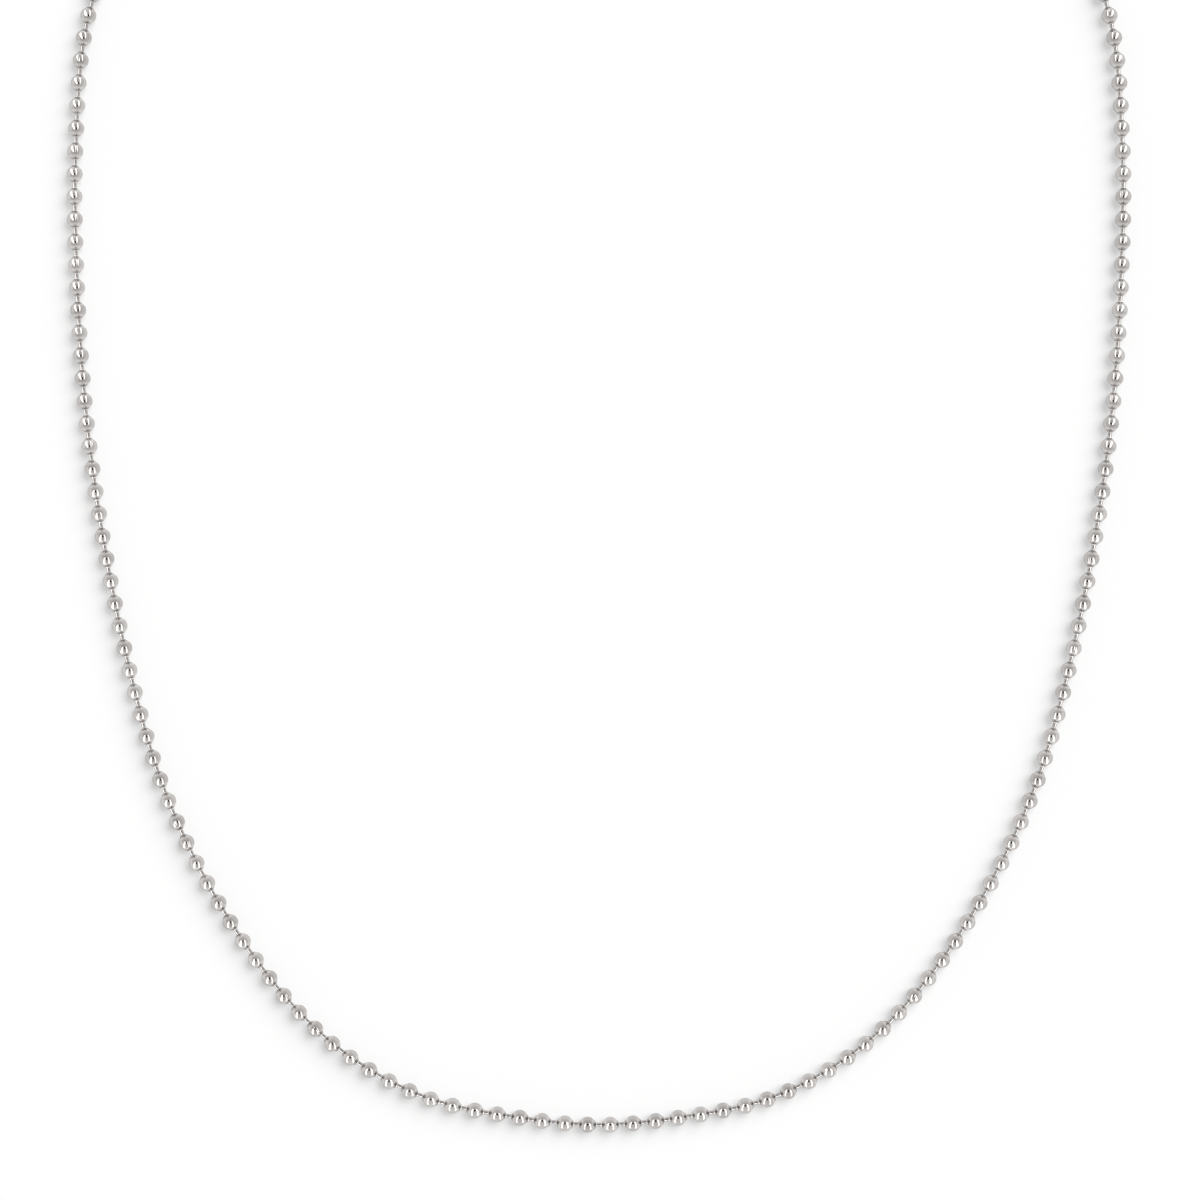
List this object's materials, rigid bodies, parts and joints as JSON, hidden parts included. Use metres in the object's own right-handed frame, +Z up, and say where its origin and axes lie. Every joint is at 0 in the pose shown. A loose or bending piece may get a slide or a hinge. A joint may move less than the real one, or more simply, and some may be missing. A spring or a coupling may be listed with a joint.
{
  "type": "ball chain necklace",
  "caption": "Polished silver ball chain necklace: round hollow beads joined by short pins into one closed loop, lying flat with an open neck.",
  "frame": {"origin": "middle of the loop's box, on the surface that the chain lies on", "axes": "+Z up from the surface, +Y to the closing sleeve at the back of the neck, -Y to the front of the necklace, +X across it"},
  "size_m": [0.1336, 0.178, 0.0027],
  "materials": {
    "bead_metal": "polished white silver, mirror bright",
    "pin_metal": "drawn silver wire, bright",
    "sleeve_metal": "rolled and polished silver sheet"
  },
  "bodies": {
    "root": {"beads": "bead_metal", "link_pins": "pin_metal", "sleeve": "sleeve_metal"}
  },
  "joints": []
}
